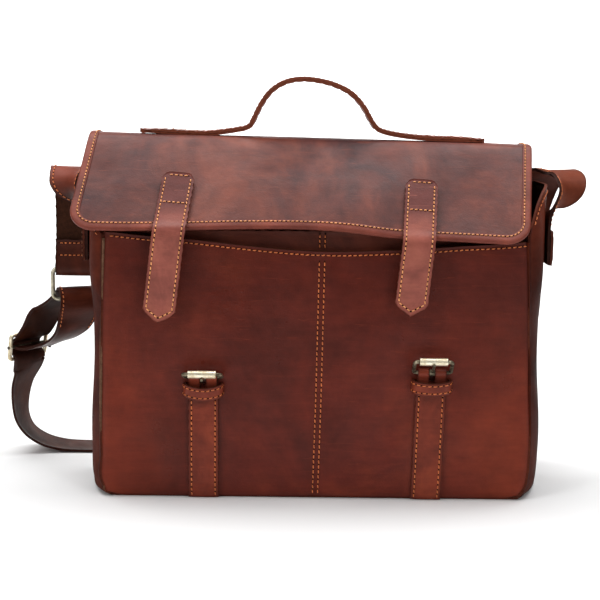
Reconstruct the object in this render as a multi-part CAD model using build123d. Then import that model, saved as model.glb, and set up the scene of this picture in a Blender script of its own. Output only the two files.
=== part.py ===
from build123d import *
import os
from math import cos, radians, sin

# Leather satchel, rebuilt as the pieces it is sewn and riveted together from.
# Millimetres. +Z is up, +X is the right side seen from the front, -Y faces forward.
# The origin is on the floor at the middle of the base.

# ---- Driving dimensions ----

# Leather and wire
LEATHER = 2.5
STRAP_LEATHER = 2.6
LINING_CLOTH = 1.0
RUN_CLEARANCE = 0.1

# Body
BODY_WIDTH = 380.0
BODY_DEPTH = 100.0
FRONT_HEIGHT = 238.0
POCKET_HEIGHT = 224.0
POCKET_SAG = 10.0
POCKET_GAP = 6.0
BACK_HEIGHT = 311.5
GUSSET_BULGE = 14.0
GUSSET_TOP = 279.0
GUSSET_FRONT_TOP = 234.0
BASE_BOARD = 3.0
LINING_TOP = 228.0

# Flat top and sloping flap
TOP_HEIGHT = 312.5
FOLD_Y = 20.0
FLAP_WIDTH = 400.0
FLAP_LENGTH = 110.0
FLAP_SLOPE = 45.0
FLAP_SHIFT_BACK = -7.0
FLAP_SHIFT_FRONT = -17.0
FLAP_CORNER = 20.0
FLAP_LEATHER = 2.6
BINDING_WIDTH = 8.0
BINDING_LEATHER = 0.9
FOLD_GAP = 1.6

# Closure straps on the flap: x at the sewn top and at the tip, z of the tip
CLOSURE_WIDTH = 28.0
CLOSURE_SEWN_TOP = 49.0
CLOSURE_SEWN_END = 84.2
CLOSURE_PIVOT = 86.0
CLOSURE_LAYER = 1.25
CLOSURES = {"left": (-123.0, -138.0, 160.0), "right": (91.0, 80.0, 168.0)}

# Buckles: x of the strap, height of the keeper's middle, height of the bar, tilt from upright
LOWER_STRAP_WIDTH = 26.0
KEEPER_WIDTH = 33.0
KEEPER_TALL = 11.0
BUCKLES = {"left": (-99.0, 99.5, 111.0, 72.0), "right": (101.0, 104.5, 117.0, 48.0)}
BUCKLE_WIRE = 3.4
BUCKLE_WIDTH = 36.0
BUCKLE_LENGTH = 18.0
BUCKLE_CORNER = 3.0
ROLLER_LENGTH = 24.0
ROLLER_RADIUS = 3.4
TONGUE_RADIUS = 1.2
TONGUE_EYE_WALL = 1.3
TONGUE_SLOT_WIDTH = 5.4
CHAPE_WALL = 1.8
KEEPER_WALL = 2.0
KEEPER_ROOM = 3.4

# Carrying handle
HANDLE_X = -5.0
HANDLE_Y = 35.5
HANDLE_WIDTH = 26.0
HANDLE_LAYER = 2.0

# Shoulder strap
STRAP_WIDTH = 39.0
STRAP_AXIS_Y = 58.0
STRAP_AXIS_Z = 189.5
RING_WIRE = 4.0
RING_WIDTH = 50.0
RING_HEIGHT = 33.0
RING_X = -226.0
RING_TURN = 5.0
SLIDER_CENTRE = Vector(-280, 88, 110)
SLIDER_BAR_SPACING = 12.0
SLIDER_WIRE = 4.0
SLIDER_BAR_RADIUS = 1.5
STRAP_EYE_RADIUS = 3.4
STRAP_BEND_INSIDE = 9.4
STRAP_BEND_TURN = 23.0
STRAP_BEND_TILT = 50.0
ANCHOR_GAP = 0.2
ANCHOR_FOOT_BOTTOM = 208.0
PATCH_THICKNESS = 2.0
PATCH_BOTTOM = 206.0
PATCH_TOP = 238.0

FRONT = -BODY_DEPTH / 2
BACK = BODY_DEPTH / 2
HALF = BODY_WIDTH / 2
UP = Vector(0, 0, 1)


def save(name, shape):
    """Writes one sub-part under its node name."""
    shape.label = name
    export_step(shape, "parts/" + name + ".step")


def block(x0, x1, y0, y1, z0, z1):
    """A plain box between two corners."""
    size = (x1 - x0, y1 - y0, z1 - z0)
    return Pos(x0, y0, z0) * Box(*size, align=(Align.MIN, Align.MIN, Align.MIN))


def rod(start, end, radius):
    """A round bar between two points."""
    start, end = Vector(*start), Vector(*end)
    return Solid.make_cylinder(radius, (end - start).length, Plane(start, z_dir=end - start))


def tube(start, end, outer, inner):
    """A round sleeve between two points."""
    start, end = Vector(*start), Vector(*end)
    reach = (end - start).normalized() * 1.0
    return rod(start, end, outer) - rod(start - reach, end + reach, inner)


def ribbon(stations, width, thickness, offset=0.0):
    """A flat strap through (middle, across) stations, ruled from one section to the next."""
    middles = [Vector(*middle) for middle, _ in stations]
    sections = []
    for i, (_, across) in enumerate(stations):
        before = middles[max(i - 1, 0)]
        after = middles[min(i + 1, len(middles) - 1)]
        along = (after - before).normalized()
        across = Vector(*across)
        across = (across - along * across.dot(along)).normalized()
        face = along.cross(across)
        middle = middles[i] + face * offset
        side, depth = across * (width / 2), face * (thickness / 2)
        corners = [middle + side + depth, middle - side + depth]
        corners += [middle - side - depth, middle + side - depth]
        sections.append(Wire.make_polygon(corners, close=True))
    return Solid.make_loft(sections, ruled=True)


def rounded_link(plane, width, height, corner, wire_radius):
    """A closed rounded-rectangle link of round wire, in the given plane."""
    path = (plane * RectangleRounded(width, height, corner)).wire()
    start = Plane(path @ 0.0, z_dir=path % 0.0)
    return sweep(start * Circle(wire_radius), path=path)


# ---- Body panels ----

def pocket_top(x):
    """Height of the front pocket's edge, which sags towards its middle."""
    return POCKET_HEIGHT + POCKET_SAG * (x / HALF) ** 2


def side_profile(y0, y1):
    """Outline of a gusset seen from the side, cut away towards the front."""
    slope_foot = -8.0
    points = [(y0, LEATHER), (y1, LEATHER), (y1, GUSSET_TOP), (slope_foot, GUSSET_TOP - 2)]
    return Plane.YZ * make_face(Polyline(*points, (y0, GUSSET_FRONT_TOP), close=True))


def footprint():
    """The body's outline on the floor: straight front and back, bowed sides."""
    right = ThreePointArc((HALF, FRONT), (HALF + GUSSET_BULGE, 0), (HALF, BACK))
    left = ThreePointArc((-HALF, BACK), (-HALF - GUSSET_BULGE, 0), (-HALF, FRONT))
    return make_face(right + Line((HALF, BACK), (-HALF, BACK)) + left + Line((-HALF, FRONT), (HALF, FRONT)))


def gusset(side):
    """A side panel that bows outward between its front and back seams."""
    edge = HALF - LEATHER
    outer = ThreePointArc((HALF, FRONT), (HALF + GUSSET_BULGE, 0), (HALF, BACK))
    inner = ThreePointArc((edge, BACK), (edge + GUSSET_BULGE, 0), (edge, FRONT))
    sheet = make_face(outer + Line((HALF, BACK), (edge, BACK)) + inner + Line((edge, FRONT), (HALF, FRONT)))
    wall = extrude(sheet, GUSSET_TOP)
    shaped = wall & extrude(side_profile(FRONT, BACK), HALF + 2 * GUSSET_BULGE)
    return shaped if side > 0 else shaped.mirror(Plane.YZ)


def front_pocket():
    """The outer pocket layer with its closed sides, bottom and stitched middle."""
    edge = HALF - LEATHER
    seam = 4.0
    back_of_gap = FRONT + LEATHER + POCKET_GAP
    top = Spline([(x, pocket_top(x)) for x in (-edge, -edge / 2, 0, edge / 2, edge)])
    sides = Polyline((edge, pocket_top(edge)), (edge, LEATHER), (-edge, LEATHER), (-edge, pocket_top(edge)))
    outline = Plane.XZ * make_face(top + sides)
    slab = Pos(0, FRONT, 0) * extrude(outline, -(back_of_gap - FRONT))
    room_top = POCKET_HEIGHT + 3 * POCKET_SAG
    room_y = (FRONT + LEATHER, back_of_gap + 1)
    slab -= block(-edge + seam, -seam / 2, *room_y, LEATHER + seam, room_top)
    slab -= block(seam / 2, edge - seam, *room_y, LEATHER + seam, room_top)
    return slab


def lining():
    """The open cloth tub inside the main compartment."""
    gap = 0.5
    x = HALF - LEATHER - 3.0
    y0 = FRONT + LEATHER + POCKET_GAP + LEATHER + gap
    y1 = BACK - LEATHER - gap
    z0 = LEATHER + BASE_BOARD + 2 * gap
    tub = block(-x, x, y0, y1, z0, LINING_TOP)
    c = LINING_CLOTH
    return tub - block(-x + c, x - c, y0 + c, y1 - c, z0 + c, LINING_TOP + 1)


def panels():
    """The flat panels, the gussets, the base and what lines them."""
    edge = HALF - LEATHER
    front_back_face = FRONT + LEATHER + POCKET_GAP
    save("back_panel", block(-edge, edge, BACK - LEATHER, BACK, LEATHER, BACK_HEIGHT))
    front_y = (front_back_face, front_back_face + LEATHER)
    save("front_panel", block(-edge, edge, *front_y, LEATHER, FRONT_HEIGHT))
    save("front_pocket", front_pocket())
    save("gusset_left", gusset(-1))
    save("gusset_right", gusset(1))
    save("base_panel", extrude(footprint(), LEATHER))
    board_y = (front_back_face + LEATHER + 0.5, BACK - LEATHER - 0.5)
    save("base_board", block(-edge + 3, edge - 3, *board_y, LEATHER, LEATHER + BASE_BOARD))
    save("lining", lining())


# ---- Top strip and flap ----

def flap_plane():
    """The flap's own plane: x across, y back up the slope, z out of the leather."""
    slope = radians(FLAP_SLOPE)
    return Plane((0, FOLD_Y, TOP_HEIGHT), x_dir=(1, 0, 0), z_dir=(0, -sin(slope), cos(slope)))


def on_flap(x, down, out):
    """A point on the flap: distance down the slope from the fold, and out of the surface."""
    return flap_plane().from_local_coords(Vector(x, -down, out))


def flap_sheet(inset, first, out0, out1):
    """The flap's skewed outline with rounded front corners, between two distances out of its plane."""
    half = FLAP_WIDTH / 2 - inset
    end = FLAP_LENGTH - inset
    slant = (FLAP_SHIFT_FRONT - FLAP_SHIFT_BACK) / FLAP_LENGTH
    x0 = FLAP_SHIFT_BACK + slant * first
    x1 = FLAP_SHIFT_BACK + slant * end
    corners = [(x0 - half, -first), (x1 - half, -end), (x1 + half, -end), (x0 + half, -first)]
    slab = extrude(make_face(Polyline(*corners, close=True)), out1 - out0)
    front_edges = slab.edges().filter_by(Axis.Z).sort_by(Axis.Y)[:2]
    slab = fillet(front_edges, FLAP_CORNER - inset)
    return flap_plane() * Pos(0, 0, out0) * slab


def flap_parts():
    """The flap, its bound edge and the top strip it hinges from."""
    start = FOLD_GAP / 4
    under, over = -BINDING_LEATHER, FLAP_LEATHER + BINDING_LEATHER
    sheet = flap_sheet(BINDING_LEATHER, start, 0, FLAP_LEATHER)
    save("flap", sheet)
    binding = flap_sheet(0, start, under, over)
    binding -= flap_sheet(BINDING_WIDTH, -5, under - 1, over + 1)
    binding -= flap_sheet(BINDING_LEATHER, start - 1, 0, FLAP_LEATHER)
    save("flap_binding", binding)
    left = FLAP_SHIFT_BACK - FLAP_WIDTH / 2
    top_y = (FOLD_Y + FOLD_GAP, BACK + LEATHER)
    top = block(left, left + FLAP_WIDTH, *top_y, TOP_HEIGHT, TOP_HEIGHT + FLAP_LEATHER)
    save("top_strip", top)


# ---- Closure straps ----

def closure_stations(side):
    """The free tail: down the flap past its edge, then hanging in front of the pocket."""
    x_top, x_tip, tip_z = CLOSURES[side]
    out = FLAP_LEATHER + 2 * CLOSURE_LAYER
    first = on_flap(0, CLOSURE_PIVOT + 1.0, out - 1.2)
    edge = on_flap(0, FLAP_LENGTH - 4, out)
    lip = on_flap(0, FLAP_LENGTH + 1, out - 0.2)
    profile = [(first.Y, first.Z), (edge.Y, edge.Z), (lip.Y, lip.Z)]
    profile += [(lip.Y - 2.6, lip.Z - 4), (lip.Y - 3.2, lip.Z - 10), (lip.Y - 2.6, lip.Z - 30)]
    profile += [(lip.Y - 1.6, (lip.Z + tip_z) / 2 - 12), (lip.Y - 1.2, tip_z)]
    top_z = on_flap(0, CLOSURE_SEWN_TOP, 0).Z
    stations = []
    for y, z in profile:
        share = (top_z - z) / (top_z - tip_z)
        stations.append(((x_top + (x_tip - x_top) * share, y, z), (1, 0, 0)))
    return stations


def tip_cutter(side, shoulder=9.0):
    """Space outside the shallow point at a tail's tip."""
    _, x_tip, tip_z = CLOSURES[side]
    half = CLOSURE_WIDTH / 2 + 1
    depth = 60.0
    cuts = []
    for sign in (-1, 1):
        corners = [(0, -8), (sign * half, -8), (sign * half, shoulder), (0, 0)]
        face = Plane.XZ * make_face(Polyline(*corners, close=True))
        cuts.append(Pos(x_tip, -30, tip_z) * extrude(face, depth))
    return cuts


def closures():
    """Each closure strap: its part sewn to the flap, and its free tail in two layers."""
    for side, (x_top, x_tip, tip_z) in CLOSURES.items():
        top_z = on_flap(0, CLOSURE_SEWN_TOP, 0).Z
        lean = (x_tip - x_top) / (top_z - tip_z)
        ends = []
        for down in (CLOSURE_SEWN_TOP, CLOSURE_SEWN_END):
            at = on_flap(0, down, FLAP_LEATHER + 0.05 + CLOSURE_LAYER)
            ends.append(((x_top + lean * (top_z - at.Z), at.Y, at.Z), (1, 0, 0)))
        save("closure_strap_" + side, ribbon(ends, CLOSURE_WIDTH, 2 * CLOSURE_LAYER - 0.1))
        stations = closure_stations(side)
        for name, offset in (("closure_tail_", -1), ("closure_tail_backing_", 1)):
            layer = ribbon(stations, CLOSURE_WIDTH, CLOSURE_LAYER, offset * CLOSURE_LAYER / 2)
            for cut in tip_cutter(side):
                layer -= cut
            save(name + side, layer)


# ---- Buckles ----

def buckle_plane(side):
    """A buckle's own plane: x along its bar, y towards its roller, z outward."""
    x, _, bar_z, tilt = BUCKLES[side]
    lean = radians(tilt)
    return Plane((x, bar_y(), bar_z), x_dir=(1, 0, 0), z_dir=(0, -cos(lean), -sin(lean)))


def bar_y():
    """How far out the buckle's bar sits: on the chape, on the lower strap."""
    return FRONT - 2 * STRAP_LEATHER - 1.6


def chape(side):
    """The leather loop that holds the buckle's bar, slotted for the tongue."""
    x, keeper_z, bar_z, _ = BUCKLES[side]
    half = LOWER_STRAP_WIDTH / 2
    hole = BUCKLE_WIRE / 2 + RUN_CLEARANCE
    reach = hole + CHAPE_WALL
    y = bar_y()
    foot_z = keeper_z - 6
    eye = rod((x - half, y, bar_z), (x + half, y, bar_z), reach)
    tail = block(x - half, x + half, y - 0.2, FRONT - STRAP_LEATHER - 0.1, foot_z, bar_z)
    body = (eye + tail) - rod((x - half - 1, y, bar_z), (x + half + 1, y, bar_z), hole)
    slot = TONGUE_SLOT_WIDTH / 2
    return body - block(x - slot, x + slot, y - 8, FRONT - STRAP_LEATHER - 0.5, bar_z - 4.5, bar_z + 6)


def keeper(side):
    """The sewn loop that a closure strap is tucked under."""
    x, z, _, _ = BUCKLES[side]
    wall = KEEPER_WALL
    front = bar_y() - 0.2 - KEEPER_ROOM
    half = KEEPER_WIDTH / 2
    tall = KEEPER_TALL / 2
    loop = block(x - half, x + half, front - wall, FRONT, z - tall, z + tall)
    loop = fillet(loop.edges().filter_by(Axis.Z).sort_by(Axis.Y)[:2], 3.0)
    return loop - block(x - half + wall, x + half - wall, front, FRONT + 1, z - tall - 1, z + tall + 1)


def tongue(side):
    """The buckle's pin: an eye round the bar and a rod that rests on the roller."""
    plane = buckle_plane(side)
    hole = BUCKLE_WIRE / 2 + RUN_CLEARANCE
    half = 2.1
    eye = rod((-half, 0, 0), (half, 0, 0), hole + TONGUE_EYE_WALL)
    eye = eye + rod((0, 2.6, 1.2), (0, BUCKLE_LENGTH + 2.6, ROLLER_RADIUS + 2.1), TONGUE_RADIUS)
    eye = eye - rod((-half - 1, 0, 0), (half + 1, 0, 0), hole)
    return plane * eye


def buckles():
    """Each lower strap with its keeper, chape, buckle frame, roller and tongue."""
    for side, (x, keeper_z, _, _) in BUCKLES.items():
        half = LOWER_STRAP_WIDTH / 2
        strap_top = keeper_z + KEEPER_TALL / 2 - 1
        save("lower_strap_" + side, block(x - half, x + half, FRONT - STRAP_LEATHER, FRONT, 1, strap_top))
        save("chape_" + side, chape(side))
        save("keeper_" + side, keeper(side))
        plane = buckle_plane(side)
        middle = plane.from_local_coords(Vector(0, BUCKLE_LENGTH / 2, 0))
        frame_plane = plane.shift_origin(middle)
        width = BUCKLE_WIDTH - BUCKLE_WIRE
        frame = rounded_link(frame_plane, width, BUCKLE_LENGTH, BUCKLE_CORNER, BUCKLE_WIRE / 2)
        save("buckle_frame_" + side, frame)
        reach = ROLLER_LENGTH / 2
        hole = BUCKLE_WIRE / 2 + RUN_CLEARANCE
        roller = tube((-reach, BUCKLE_LENGTH, 0), (reach, BUCKLE_LENGTH, 0), ROLLER_RADIUS, hole)
        save("buckle_roller_" + side, plane * roller)
        save("buckle_tongue_" + side, tongue(side))


# ---- Carrying handle ----

HANDLE_ARCH = [(-57, 325), (-53, 333), (-47, 346), (-38, 358), (-26, 365.5), (-12, 368), (4, 367)]
HANDLE_ARCH += [(20, 363.5), (34, 356.5), (45, 345), (53, 332), (57, 325)]
HANDLE_FOOT = [(59.5, 324), (66, 322), (80, 319.4), (100, 317.3), (130, 317.3), (157, 317.3)]


def handle():
    """The arched handle in two layers, and its two sewn feet."""
    across = (0, 1, 0)
    arch = [((HANDLE_X + x, HANDLE_Y, z), across) for x, z in HANDLE_ARCH]
    half = HANDLE_LAYER / 2
    save("handle_outer", ribbon(arch, HANDLE_WIDTH, HANDLE_LAYER, -half))
    save("handle_inner", ribbon(arch, HANDLE_WIDTH, HANDLE_LAYER, half))
    for side, sign in (("left", -1), ("right", 1)):
        foot = [((HANDLE_X + sign * x, HANDLE_Y, z), across) for x, z in HANDLE_FOOT]
        save("handle_foot_" + side, ribbon(foot, HANDLE_WIDTH, 2 * HANDLE_LAYER))


# ---- Shoulder strap ----

def strap_root(side):
    """Middle line of a strap from its sewn foot on the gusset, up, outward and over."""
    wall = HALF + GUSSET_BULGE + ANCHOR_GAP + STRAP_LEATHER / 2
    rise = [((wall, 0, ANCHOR_FOOT_BOTTOM), (0, 1, 0)), ((wall, 0, 244), (0, 1, 0))]
    rise += [((wall + 6, 0, 257), (0.22, 0.97, 0)), ((wall + 14, 3, 268), (0.52, 0.85, 0))]
    rise += [((wall + 19, 12, 279), (0.8, 0.6, 0)), ((wall + 19, 28, 286), (0.93, 0.36, 0))]
    return [((side * x, y, z), (side * u, v, w)) for (x, y, z), (u, v, w) in rise]


def patch(side):
    """The second layer sewn over a strap's foot on the gusset."""
    wall = HALF + GUSSET_BULGE + ANCHOR_GAP + STRAP_LEATHER + 0.1
    half = STRAP_WIDTH / 2
    sheet = block(wall, wall + PATCH_THICKNESS, -half, half, PATCH_BOTTOM, PATCH_TOP)
    return sheet if side > 0 else sheet.mirror(Plane.YZ)


def anchor_left():
    """Left strap end: over the arch, down behind, folded round the ring and sewn back."""
    x, y, z = RING_X, STRAP_AXIS_Y, STRAP_AXIS_Z
    across = (-1, 0, 0)
    layer = STRAP_LEATHER / 2 + 0.1
    fold = RING_WIRE / 2 + 2.3 + STRAP_LEATHER / 2
    stations = strap_root(-1)
    stations += [((x, 46, 283), (-1, 0.1, 0)), ((x, 55.5, 270), across), ((x, 59, 250), across)]
    stations += [((x, y + layer, 225), across), ((x, y + layer, 208), across)]
    stations += [((x, y + fold - 0.8, z + 7), across)]
    for step in range(9):
        turn = radians(180 * step / 8)
        stations.append(((x, y + fold * cos(turn), z - fold * sin(turn)), across))
    stations += [((x, y - fold + 0.8, z + 7), across), ((x, y - layer, 208), across)]
    stations += [((x, y - layer, 217), across)]
    return ribbon(stations, STRAP_WIDTH, STRAP_LEATHER)


def anchor_right():
    """Right strap end: over the arch and down behind to where the loose strap starts."""
    stations = strap_root(1)
    across = (1, 0, 0)
    stations += [((217, 46, 287), (0.97, 0.2, 0)), ((207, 58, 274), across)]
    stations += [((199, 60, 250), across), ((195, STRAP_AXIS_Y + 1, 225), across)]
    stations += [((194, STRAP_AXIS_Y, STRAP_AXIS_Z + 2.5), across)]
    return ribbon(stations, STRAP_WIDTH, STRAP_LEATHER)


def ring_plane():
    """The ring's own plane, hanging from the left strap end and turned a little."""
    turn = radians(RING_TURN)
    middle = (RING_X, STRAP_AXIS_Y, STRAP_AXIS_Z - (RING_HEIGHT - RING_WIRE) / 2)
    return Plane(middle, x_dir=(cos(turn), sin(turn), 0), z_dir=(sin(turn), -cos(turn), 0))


def slider_plane():
    """The slider's own plane: x along its bars, y up the strap, z towards the bag."""
    bars = Vector(0.6, 0.8, 0)
    upright = Vector(0.17, 0, 0.985)
    upright = (upright - bars * upright.dot(bars)).normalized()
    return Plane(SLIDER_CENTRE, x_dir=bars, z_dir=bars.cross(upright))


def on_slider(up, out):
    """A strap station at a place on the slider."""
    plane = slider_plane()
    return (plane.from_local_coords(Vector(0, up, out)), plane.x_dir)


def ring_bend():
    """The strap's turn round the ring's lower bar, from the back layer to the front one."""
    turn = radians(STRAP_BEND_TURN)
    tilt = radians(STRAP_BEND_TILT)
    across = Vector(cos(turn), sin(turn), 0)
    level = Vector(-sin(turn), cos(turn), 0)
    away = level * cos(tilt) - UP * sin(tilt)
    lift = away.cross(across)
    lift = lift if lift.Z > 0 else lift * -1
    lower_bar = Vector(RING_X, STRAP_AXIS_Y, STRAP_AXIS_Z - (RING_HEIGHT - RING_WIRE))
    radius = STRAP_BEND_INSIDE + STRAP_LEATHER / 2
    stations = []
    for step in range(9):
        angle = radians(90 + 180 * step / 8)
        stations.append((lower_bar + lift * (radius * sin(angle)) + away * (radius * cos(angle)), across))
    return stations


LOOSE_STRAP = [
    ((-280, 90, 87), (0.5, 0.86, 0)),
    ((-287, 95, 70), (0.33, 0.94, 0)),
    ((-290, 99, 51), (0.2, 0.98, 0)),
    ((-289, 103, 34), (0.1, 0.99, 0)),
    ((-282, 107, 19), (0, 1, 0)),
    ((-269, 110, 9), (0, 1, 0)),
    ((-251, 112, 3.6), (0, 1, 0)),
    ((-230, 113, 1.8), (0, 1, 0)),
    ((-150, 115, 1.8), (0, 1, 0)),
    ((-60, 114, 1.8), (0, 1, 0)),
    ((30, 111, 1.8), (0, 1, 0)),
    ((100, 107, 1.8), (0, 1, 0)),
    ((124, 104, 3.4), (0.05, 1, 0)),
    ((146, 100, 10), (0.15, 0.98, 0)),
    ((164, 95, 23), (0.3, 0.95, 0)),
    ((177, 88, 44), (0.5, 0.86, 0)),
    ((185, 80, 72), (0.72, 0.7, 0)),
    ((190, 71, 104), (0.9, 0.44, 0)),
    ((193, 63, 140), (1, 0.1, 0)),
    ((194, 58, 170), (1, 0, 0)),
    ((194, STRAP_AXIS_Y, STRAP_AXIS_Z - 2.5), (1, 0, 0)),
]


def shoulder_strap():
    """The loose strap: from the slider's bar round the ring, back through the slider, and round."""
    bar_eye = on_slider(0, 2.6)
    tab = [bar_eye, on_slider(0.2, 7), on_slider(3, 16)]
    front_join = [((-255, 76, 135), (0.72, 0.69, 0))]
    back_join = [((-245, 84, 150), (0.8, 0.6, 0)), ((-260, 86, 139), (0.7, 0.72, 0))]
    weave = [on_slider(17, 7.5), on_slider(12.5, 4.3), on_slider(9, 2.4), on_slider(7, -0.5)]
    weave += [on_slider(4.5, -3.8), on_slider(0, -5.2), on_slider(-4.5, -3.8), on_slider(-7, -0.5)]
    weave += [on_slider(-9, 2.4), on_slider(-12, 3.9), on_slider(-17, 3.9)]
    bend = ring_bend()
    front = tab + front_join + bend[::-1]
    stations = front + back_join + weave + LOOSE_STRAP
    strap = ribbon(stations, STRAP_WIDTH - 1, STRAP_LEATHER)
    plane = slider_plane()
    half = STRAP_WIDTH / 2 - 0.5
    bore_radius = SLIDER_BAR_RADIUS + 2 * RUN_CLEARANCE
    eye = plane * tube((-half, 0, 0), (half, 0, 0), STRAP_EYE_RADIUS, bore_radius)
    bore = plane * rod((-half - 1, 0, 0), (half + 1, 0, 0), bore_radius)
    middles = [Vector(*middle) for middle, _ in stations]
    length = sum((b - a).length for a, b in zip(middles, middles[1:]))
    print("shoulder strap length", round(length))
    return (strap + eye) - bore


def slider_parts():
    """The slider's outer link and its middle bar."""
    plane = slider_plane()
    width = STRAP_WIDTH + 6.0
    frame = rounded_link(plane, width, 2 * SLIDER_BAR_SPACING, 3.0, SLIDER_WIRE / 2)
    bar_end = width / 2 + SLIDER_WIRE / 2 + 0.6
    bar = plane * rod((-bar_end, 0, 0), (bar_end, 0, 0), SLIDER_BAR_RADIUS)
    bar_hole = plane * rod((-bar_end - 1, 0, 0), (bar_end + 1, 0, 0), SLIDER_BAR_RADIUS)
    save("slider_frame", frame - bar_hole)
    save("slider_bar", bar)


def shoulder():
    """The two strap ends on the gussets, the ring, and the loose strap with its slider."""
    save("anchor_strap_left", anchor_left())
    save("anchor_strap_right", anchor_right())
    save("anchor_patch_left", patch(-1))
    save("anchor_patch_right", patch(1))
    link = (RING_WIDTH - RING_WIRE, RING_HEIGHT - RING_WIRE)
    save("strap_ring", rounded_link(ring_plane(), *link, 5.0, RING_WIRE / 2))
    save("shoulder_strap", shoulder_strap())
    slider_parts()


os.makedirs("parts", exist_ok=True)
panels()
flap_parts()
closures()
buckles()
handle()
shoulder()
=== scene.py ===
import math

import bpy
import numpy as np
from mathutils import Matrix, Vector


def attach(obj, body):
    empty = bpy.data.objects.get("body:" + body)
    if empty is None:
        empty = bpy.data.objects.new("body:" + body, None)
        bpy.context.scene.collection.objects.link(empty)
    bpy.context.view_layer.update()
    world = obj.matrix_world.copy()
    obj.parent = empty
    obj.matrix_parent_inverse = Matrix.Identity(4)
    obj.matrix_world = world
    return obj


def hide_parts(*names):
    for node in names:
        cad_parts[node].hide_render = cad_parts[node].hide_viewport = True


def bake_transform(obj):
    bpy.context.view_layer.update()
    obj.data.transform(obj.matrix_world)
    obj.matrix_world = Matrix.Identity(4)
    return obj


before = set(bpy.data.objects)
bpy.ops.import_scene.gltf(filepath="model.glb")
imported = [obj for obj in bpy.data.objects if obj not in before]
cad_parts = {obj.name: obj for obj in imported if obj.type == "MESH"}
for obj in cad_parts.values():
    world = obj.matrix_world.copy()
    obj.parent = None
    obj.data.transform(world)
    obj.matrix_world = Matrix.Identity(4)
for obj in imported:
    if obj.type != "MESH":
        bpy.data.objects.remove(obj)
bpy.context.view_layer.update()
MM = 0.001
scene = bpy.context.scene
scene.view_settings.view_transform = "Standard"


# ---- Small maths ----

def vec(*p):
    return np.array(p, float)


def unit(v):
    """Vectors at length 1, with a guard against nothing at all."""
    return v / np.maximum(np.linalg.norm(v, axis=-1, keepdims=True), 1e-12)


def lengths_to(points):
    """The length of the way along points, up to each of them; a grid of points is taken column by column."""
    steps = np.linalg.norm(np.diff(points, axis=0), axis=-1)
    return np.concatenate([0 * steps[:1], np.cumsum(steps, axis=0)])


def curve_through(xs, ys, x):
    """Heights at x of a smooth curve through points: cubic pieces whose slopes come from their neighbours."""
    xs, ys = np.array(xs, float), np.array(ys, float)
    m = np.gradient(ys, xs)
    x = np.clip(x, xs[0], xs[-1])
    i = np.clip(np.searchsorted(xs, x) - 1, 0, len(xs) - 2)
    h = xs[i + 1] - xs[i]
    t = (x - xs[i]) / h
    a = (1 + 2 * t) * (1 - t) ** 2 * ys[i] + t * (1 - t) ** 2 * h * m[i]
    return a + t * t * (3 - 2 * t) * ys[i + 1] + t * t * (t - 1) * h * m[i + 1]


def smooth_path(points, step=2.0):
    """Points along a centripetal Catmull-Rom curve, evenly spaced, and the share of the way for each."""
    p = np.array(points, float)
    p = np.vstack([2 * p[0] - p[1], p, 2 * p[-1] - p[-2]])
    out = []
    for i in range(1, len(p) - 2):
        a, b, c, d = p[i - 1:i + 3]
        gaps = [max(np.linalg.norm(v[:3] - u[:3]), 1e-6) ** 0.5 for u, v in ((a, b), (b, c), (c, d))]
        t0, t1, t2, t3 = np.cumsum([0.0] + gaps)
        for t in np.linspace(t1, t2, 13)[:-1]:
            a1 = (t1 - t) / (t1 - t0) * a + (t - t0) / (t1 - t0) * b
            a2 = (t2 - t) / (t2 - t1) * b + (t - t1) / (t2 - t1) * c
            a3 = (t3 - t) / (t3 - t2) * c + (t - t2) / (t3 - t2) * d
            b1 = (t2 - t) / (t2 - t0) * a1 + (t - t0) / (t2 - t0) * a2
            b2 = (t3 - t) / (t3 - t1) * a2 + (t - t1) / (t3 - t1) * a3
            out.append((t2 - t) / (t2 - t1) * b1 + (t - t1) / (t2 - t1) * b2)
    out.append(p[-2])
    out = np.array(out)
    s = lengths_to(out[:, :3])
    n = max(int(s[-1] / step), 4)
    even = np.linspace(0, s[-1], n + 1)
    return np.stack([np.interp(even, s, out[:, k]) for k in range(out.shape[1])], axis=1), even


# ---- Materials ----

def linear(rgb):
    """An sRGB colour of 0 to 255 as the linear colour that a shader takes."""
    out = []
    for c in rgb:
        c = c / 255
        out.append(c / 12.92 if c <= 0.04045 else ((c + 0.055) / 1.055) ** 2.4)
    return (*out, 1)


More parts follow.
